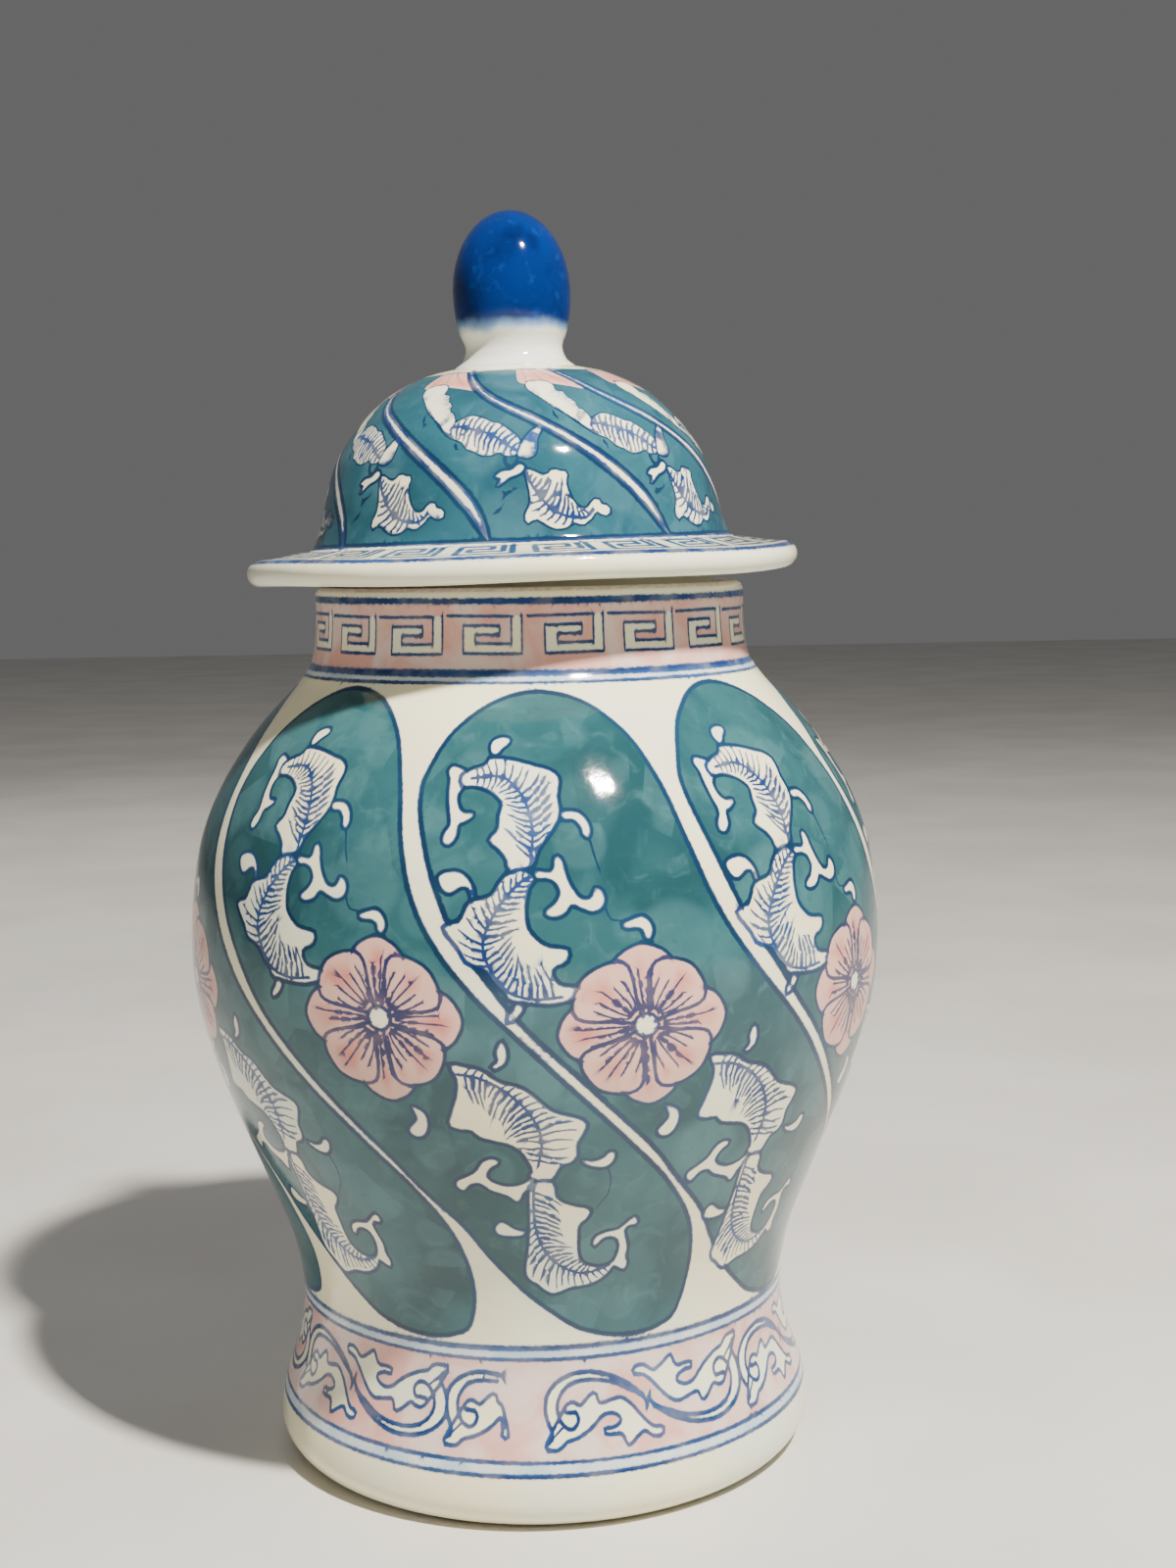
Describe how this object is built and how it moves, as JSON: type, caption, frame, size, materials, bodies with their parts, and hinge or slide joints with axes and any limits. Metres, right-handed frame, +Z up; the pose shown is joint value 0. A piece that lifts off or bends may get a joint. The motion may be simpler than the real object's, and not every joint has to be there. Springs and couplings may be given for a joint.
{
  "type": "ginger jar",
  "caption": "Lidded porcelain ginger jar with a swelling body, domed lid, wide brim and egg-shaped finial, for storage or display.",
  "frame": {"origin": "centre of the foot ring, on the plane the jar stands on", "axes": "+Z up along the jar's turning axis, from the foot to the finial; -Y faces the viewer"},
  "size_m": [0.1686, 0.1686, 0.3],
  "materials": {
    "painted_body": "glossy clear glaze over teal, pink and cobalt enamel on a warm white ground",
    "painted_lid": "glossy clear glaze over teal and cobalt enamel on a warm white ground",
    "white_glaze": "glossy warm white glaze",
    "blue_glaze": "glossy cobalt blue glaze fading to white at the stem"
  },
  "bodies": {
    "jar": {"jar_body": "painted_body"},
    "lid_ring": {"lid_collar": "white_glaze"},
    "lid": {"lid_cover": "painted_lid", "lid_knob": "blue_glaze"}
  },
  "joints": [
    {"name": "lid_lift", "type": "slide", "parent": "jar", "child": "lid_ring", "axis": [0, 0, 1], "range_m": [0, 0.15]},
    {"name": "lid_turn", "type": "hinge", "parent": "lid_ring", "child": "lid", "pos_m": [0, 0, 0.212], "axis": [0, 0, 1], "continuous": true}
  ]
}
